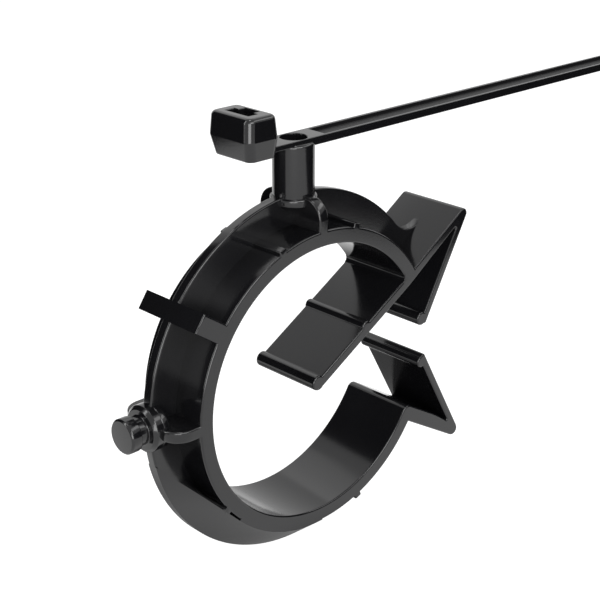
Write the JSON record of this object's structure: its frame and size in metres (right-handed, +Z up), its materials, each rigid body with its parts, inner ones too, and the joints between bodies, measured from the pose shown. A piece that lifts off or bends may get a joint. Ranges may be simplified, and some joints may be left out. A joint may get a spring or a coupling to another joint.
{
  "type": "pipe clip cable tie",
  "caption": "Push-fit pipe clip with sprung hooked jaws, a middle flange with cross gussets, a side stud, and a cable tie on a hollow post: strap one way, slotted head the other.",
  "frame": {"origin": "centre of the pipe bore, in the middle of the clip's width", "axes": "Y along the pipe, +X out of the mouth and along the strap, +Z up the post of the tie"},
  "size_m": [0.2212, 0.0132, 0.072],
  "materials": {
    "black_plastic": "glossy black moulding"
  },
  "bodies": {
    "root": {"pipe_clip_tie": "black_plastic"}
  },
  "joints": []
}
